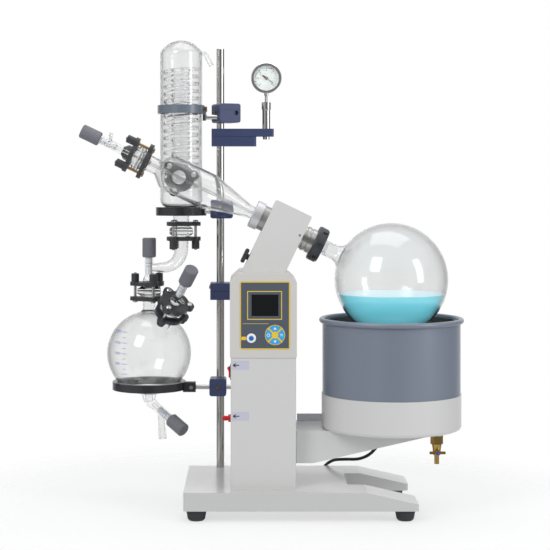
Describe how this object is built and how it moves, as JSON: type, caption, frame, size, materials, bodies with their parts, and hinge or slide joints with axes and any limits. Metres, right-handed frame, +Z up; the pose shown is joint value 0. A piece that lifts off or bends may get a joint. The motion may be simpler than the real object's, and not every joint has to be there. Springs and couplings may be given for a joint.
{
  "type": "rotary evaporator",
  "caption": "Bench rotary evaporator: tilted glass flask turning over a lifting heated bath, vertical coil condenser, receiving flask with drain, control cabinet and vacuum gauge.",
  "frame": {"origin": "middle of the whole part's bounding box in X and Y, at the height of the feet's undersides", "axes": "+X to the right as seen from the control panel, +Y towards the back, +Z up"},
  "size_m": [0.755, 0.3616, 0.934],
  "materials": {
    "casing": "satin light-grey powder coat",
    "slate_paint": "satin slate paint",
    "blue_paint": "satin dark-blue coat",
    "black_paint": "satin black coat",
    "steel": "brushed",
    "chrome": "polished",
    "brass": "turned",
    "glass": "clear",
    "black_plastic": "matte",
    "grey_plastic": "matte",
    "blue_plastic": "gloss",
    "red_plastic": "gloss",
    "panel": "printed film, satin",
    "seal": "pale elastomer",
    "rubber": "matte",
    "nut_grey": "satin anodised",
    "gear_plastic": "moulded",
    "motor": "drawn can",
    "cord": "matte sheath"
  },
  "bodies": {
    "stand": {"base_tray": "casing", "rubber_feet": "rubber", "cabinet_shell": "casing", "control_housing": "casing", "control_panel": "panel", "display_board": "black_plastic", "head_housing": "casing", "spindle_bearings": "steel", "drive_motor": "motor", "lift_actuator": "steel", "power_inlet": "black_plastic", "fuse_holder": "red_plastic", "switch_frame": "black_plastic", "support_pole": "chrome", "pole_clamps": "blue_paint", "clamp_bolts": "steel", "condenser_rings": "black_paint", "receiver_ring": "black_paint", "condenser_glass": "glass", "condenser_coil": "glass", "vapour_tee": "glass", "feed_tube": "glass", "valve_barrels": "glass", "flange_clamps": "black_plastic", "flange_nuts": "black_plastic", "joint_seals": "seal", "transfer_tube": "glass", "receiving_flask": "glass", "duct_nut": "nut_grey"},
    "rotor": {"evaporating_flask": "glass", "flask_nut": "black_plastic", "spindle": "steel", "vapour_duct": "glass", "drive_gear": "gear_plastic"},
    "pinion": {"motor_pinion": "brass"},
    "lift": {"lift_arm": "casing", "bath_base": "casing", "bath_pot": "slate_paint", "bath_liner": "steel", "ring_heater": "steel", "drain_tap": "brass", "lift_carriage": "casing", "bath_lead": "cord"},
    "tap": {"tap_handle": "brass"},
    "gauge": {"gauge_bracket": "blue_paint", "gauge_tube": "chrome", "gauge_case": "steel", "gauge_lens": "glass"},
    "feed_knob_body": {"feed_knob": "grey_plastic"},
    "vent_knob_body": {"vent_knob": "grey_plastic"},
    "side_knob_body": {"side_knob": "grey_plastic"},
    "drain_knob_body": {"drain_knob": "grey_plastic"},
    "rocker_switch_body": {"rocker_switch": "red_plastic"},
    "power_button_body": {"power_button": "blue_plastic"},
    "key_up_body": {"key_up": "blue_plastic"},
    "key_left_body": {"key_left": "blue_plastic"},
    "key_down_body": {"key_down": "blue_plastic"},
    "key_right_body": {"key_right": "blue_plastic"},
    "gauge_needle_body": {"gauge_needle": "black_paint"},
    "lock_knob_body": {"lock_knob": "black_plastic"}
  },
  "joints": [
    {"name": "flask_spin", "type": "hinge", "parent": "stand", "child": "rotor", "pos_m": [0.23592, -0.0392, 0.4512], "axis": [0.9011, 0, -0.4337], "continuous": true},
    {"name": "pinion_spin", "type": "hinge", "parent": "stand", "child": "pinion", "pos_m": [0.02407, -0.0392, 0.49988], "axis": [0.9011, 0, -0.4337], "continuous": true},
    {"name": "bath_lift", "type": "slide", "parent": "stand", "child": "lift", "axis": [0, 0, 1], "range_m": [0, 0.085], "deforming": ["bath_lead"]},
    {"name": "tap_turn", "type": "hinge", "parent": "lift", "child": "tap", "pos_m": [0.31551, -0.1302, 0.127], "axis": [0, -1, 0], "range_deg": [0, 90]},
    {"name": "gauge_swivel", "type": "hinge", "parent": "stand", "child": "gauge", "pos_m": [-0.10249, 0.1068, 0.737], "axis": [0, 0, 1], "range_deg": [-60, 60]},
    {"name": "needle_turn", "type": "hinge", "parent": "gauge", "child": "gauge_needle_body", "pos_m": [-0.00799, 0.0968, 0.857], "axis": [0, -1, 0], "range_deg": [0, 270], "stiffness_Nm_per_rad": 0.0004, "springref_deg": -34.38},
    {"name": "lock_turn", "type": "hinge", "parent": "stand", "child": "lock_knob_body", "pos_m": [-0.0442, -0.0392, 0.49501], "axis": [-0.9011, 0, 0.4337], "range_deg": [0, 180]},
    {"name": "rocker_tilt", "type": "hinge", "parent": "stand", "child": "rocker_switch_body", "pos_m": [-0.07748, -0.0872, 0.276], "axis": [0, 1, 0], "range_deg": [0, 20]},
    {"name": "power_press", "type": "slide", "parent": "stand", "child": "power_button_body", "axis": [0, 1, 0], "range_m": [0, 0.002], "stiffness_N_per_m": 300, "springref_m": -0.001},
    {"name": "feed_knob_turn", "type": "hinge", "parent": "stand", "child": "feed_knob_body", "pos_m": [-0.33627, -0.0392, 0.72657], "axis": [-0.9011, 0, 0.4337], "range_deg": [0, 270]},
    {"name": "vent_knob_turn", "type": "hinge", "parent": "stand", "child": "vent_knob_body", "pos_m": [-0.24849, 0.0948, 0.489], "axis": [0, 0, 1], "range_deg": [0, 270]},
    {"name": "side_knob_turn", "type": "hinge", "parent": "stand", "child": "side_knob_body", "pos_m": [-0.17023, -0.02053, 0.44294], "axis": [0.3817, -0.5626, 0.7333], "range_deg": [0, 270]},
    {"name": "drain_knob_turn", "type": "hinge", "parent": "stand", "child": "drain_knob_body", "pos_m": [-0.20247, 0.06615, 0.16045], "axis": [0.6912, -0.5209, -0.5009], "range_deg": [0, 270]},
    {"name": "key_up_press", "type": "slide", "parent": "stand", "child": "key_up_body", "axis": [0, 1, 0], "range_m": [0, 0.0006], "stiffness_N_per_m": 500, "springref_m": -0.0006},
    {"name": "key_left_press", "type": "slide", "parent": "stand", "child": "key_left_body", "axis": [0, 1, 0], "range_m": [0, 0.0006], "stiffness_N_per_m": 500, "springref_m": -0.0006},
    {"name": "key_down_press", "type": "slide", "parent": "stand", "child": "key_down_body", "axis": [0, 1, 0], "range_m": [0, 0.0006], "stiffness_N_per_m": 500, "springref_m": -0.0006},
    {"name": "key_right_press", "type": "slide", "parent": "stand", "child": "key_right_body", "axis": [0, 1, 0], "range_m": [0, 0.0006], "stiffness_N_per_m": 500, "springref_m": -0.0006}
  ],
  "couplings": [
    {"joint": "pinion_spin", "follows": "flask_spin", "ratio": -3}
  ]
}
